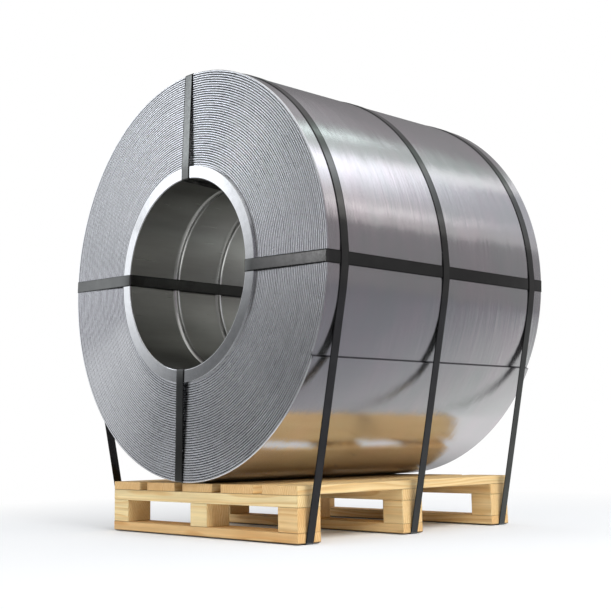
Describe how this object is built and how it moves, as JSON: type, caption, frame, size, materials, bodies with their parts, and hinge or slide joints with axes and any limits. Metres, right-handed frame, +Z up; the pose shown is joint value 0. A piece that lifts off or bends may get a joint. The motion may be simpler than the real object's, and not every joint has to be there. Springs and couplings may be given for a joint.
{
  "type": "steel coil on pallet",
  "caption": "Coil of bright steel strip on a beaded core sleeve, lying eye to the side and strapped down with steel strapping on a wooden block pallet.",
  "frame": {"origin": "on the floor, at the middle of the load's box, under the coil's axis at the middle of its width", "axes": "+Z up; +Y along the coil's axis, away from the front end face; +X across the coil, towards the side with the strip's tail"},
  "size_m": [1.0948, 0.852, 1.2331],
  "materials": {
    "strip_steel": "bright cold-rolled strip, oiled, with faint streaks across the face",
    "sleeve_steel": "satin ends, darker oiled bore",
    "strapping": "black waxed steel strapping, satin",
    "seal_steel": "black waxed, crimped",
    "deck_pine": "sawn pine, clean",
    "pine": "sawn pine, clean"
  },
  "bodies": {
    "root": {"coil": "strip_steel", "core_sleeve": "sleeve_steel", "eye_strap_top": "strapping", "eye_strap_left": "strapping", "eye_strap_bottom": "strapping", "eye_strap_right": "strapping", "girth_strap_front": "strapping", "girth_strap_middle": "strapping", "girth_strap_rear": "strapping", "eye_seal_top": "seal_steel", "eye_seal_left": "seal_steel", "eye_seal_bottom": "seal_steel", "eye_seal_right": "seal_steel", "girth_seal_front": "seal_steel", "girth_seal_middle": "seal_steel", "girth_seal_rear": "seal_steel", "deck_board_1": "deck_pine", "deck_board_2": "deck_pine", "deck_board_3": "deck_pine", "deck_board_4": "deck_pine", "deck_board_5": "deck_pine", "stringer_front": "pine", "stringer_middle": "pine", "stringer_rear": "pine", "block_front_left": "pine", "block_front_middle": "pine", "block_front_right": "pine", "block_middle_left": "pine", "block_middle_middle": "pine", "block_middle_right": "pine", "block_rear_left": "pine", "block_rear_middle": "pine", "block_rear_right": "pine", "bottom_board_front": "pine", "bottom_board_middle": "pine", "bottom_board_rear": "pine"}
  },
  "joints": []
}
